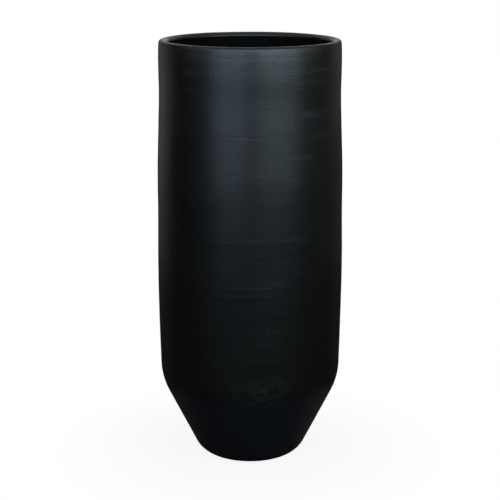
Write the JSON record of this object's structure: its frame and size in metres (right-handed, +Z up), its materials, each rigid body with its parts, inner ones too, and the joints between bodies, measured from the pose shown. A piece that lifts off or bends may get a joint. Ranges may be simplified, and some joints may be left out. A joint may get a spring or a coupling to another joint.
{
  "type": "tall round planter",
  "caption": "Tall round floor planter with a combed wall, thick rolled lip, smooth conical foot and a plugged floor drain.",
  "frame": {"origin": "on the floor at the centre of the foot, the bottom centre of the bounding box", "axes": "+Z up along the vessel's turning axis; +X and +Y point across the foot at two of the pads"},
  "size_m": [0.3493, 0.3494, 0.8],
  "materials": {
    "shell_gelcoat": "near-black matt gelcoat on glass-fibre laminate, finely combed above the knee and smooth below",
    "lip_gelcoat": "near-black satin gelcoat, smooth",
    "floor_laminate": "dark brushed resin over glass mat",
    "bush_plastic": "black moulded plastic, fine grain",
    "plug_rubber": "black rubber, matt",
    "pad_rubber": "dark grey rubber, matt"
  },
  "bodies": {
    "vessel": {"body_shell": "shell_gelcoat", "rim_ring": "lip_gelcoat", "base_pan": "floor_laminate", "drain_bush": "bush_plastic", "foot_pad_1": "pad_rubber", "foot_pad_2": "pad_rubber", "foot_pad_3": "pad_rubber", "foot_pad_4": "pad_rubber"},
    "plug": {"drain_plug": "plug_rubber"}
  },
  "joints": [
    {"name": "plug_lift", "type": "slide", "parent": "vessel", "child": "plug", "axis": [0, 0, 1], "range_m": [0, 0.05]}
  ]
}
